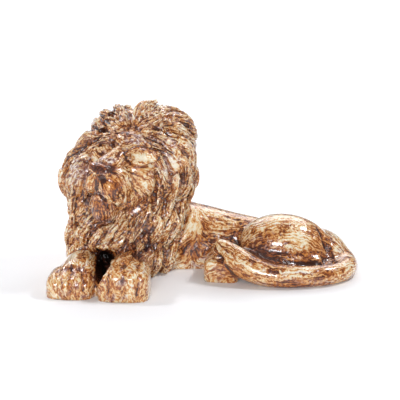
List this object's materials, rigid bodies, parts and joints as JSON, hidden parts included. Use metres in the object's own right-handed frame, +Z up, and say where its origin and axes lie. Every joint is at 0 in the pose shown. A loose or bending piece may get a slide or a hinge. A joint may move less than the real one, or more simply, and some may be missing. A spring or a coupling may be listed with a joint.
{
  "type": "lion sculpture",
  "caption": "Recumbent glazed ceramic lion with carved mane, forelegs forward, head turned and tail curled round the haunch.",
  "frame": {"origin": "centre of the figure's outline seen from above, on the surface that it rests on", "axes": "+Z up, -Y the way the forelegs point, +X from the head towards the rump"},
  "size_m": [0.46, 0.25, 0.2623],
  "materials": {
    "glaze": "glossy streaked brown, ochre and cream glaze"
  },
  "bodies": {
    "root": {"lion": "glaze"}
  },
  "joints": []
}
